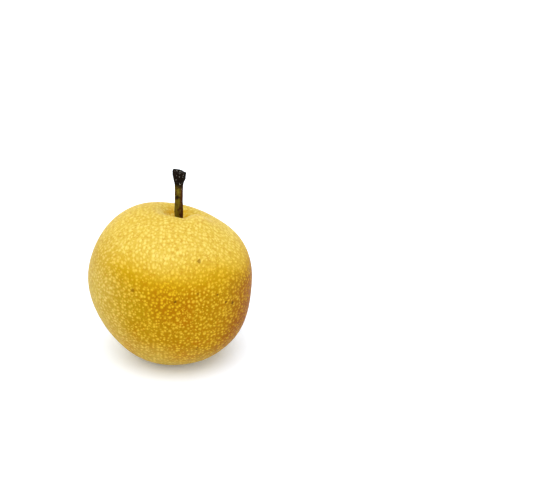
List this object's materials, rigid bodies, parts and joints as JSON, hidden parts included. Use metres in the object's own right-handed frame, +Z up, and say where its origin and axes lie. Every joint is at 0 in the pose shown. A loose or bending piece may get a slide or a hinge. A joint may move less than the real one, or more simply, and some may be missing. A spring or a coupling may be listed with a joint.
{
  "type": "nashi pear",
  "caption": "Whole round Asian pear with thin speckled golden skin, a short woody stem in a shallow cavity, and a calyx basin whose rim it stands on.",
  "frame": {"origin": "on the surface that the fruit stands on, under the middle of the object's box", "axes": "+Z up along the stem, -Y towards the side that the picture shows, +X to the right of the picture"},
  "size_m": [0.078, 0.078, 0.0914],
  "materials": {
    "skin": null,
    "bark": "matt woody stem, olive brown, blackened at the snapped end"
  },
  "bodies": {
    "root": {"fruit": "skin", "stem": "bark"}
  },
  "joints": []
}
